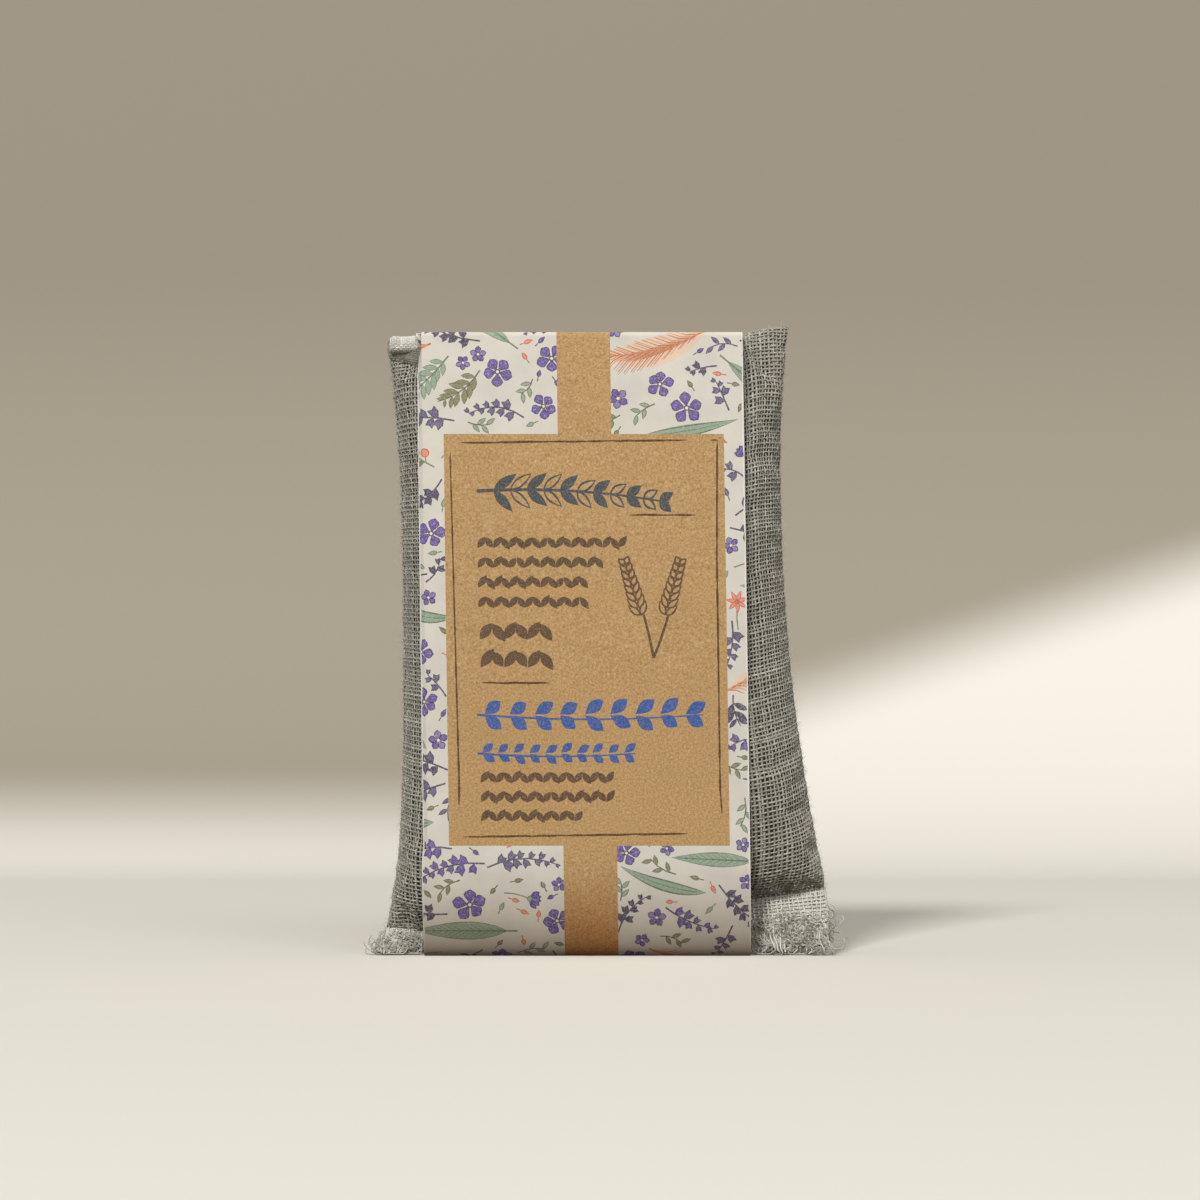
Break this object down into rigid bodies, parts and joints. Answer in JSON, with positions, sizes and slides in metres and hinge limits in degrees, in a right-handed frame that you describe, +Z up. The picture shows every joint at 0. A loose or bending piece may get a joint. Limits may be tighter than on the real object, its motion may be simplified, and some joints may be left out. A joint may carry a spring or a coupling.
{
  "type": "lavender sachet",
  "caption": "Gauze pillow bag filled with dried lavender flowers, standing upright in a printed card belly band that slides off sideways.",
  "frame": {"origin": "middle of the card band's flat bottom, which the sachet stands on", "axes": "+Z up along the bag's height, +X to the right seen from the front, front faces -Y"},
  "size_m": [0.0886, 0.0265, 0.1218],
  "materials": {
    "gauze": "matte",
    "flowers": "matte",
    "thread": "matte",
    "card": "matte",
    "glue": "satin"
  },
  "bodies": {
    "bag": {"front_panel": "gauze", "back_panel": "gauze", "lavender_filling": "flowers", "turned_seam_thread": "thread", "closing_seam_thread": "thread"},
    "band": {"paper_band": "card", "band_glue": "glue"}
  },
  "joints": [
    {"name": "band_slide", "type": "slide", "parent": "bag", "child": "band", "axis": [-1, 0, 0], "range_m": [0, 0.076]}
  ]
}
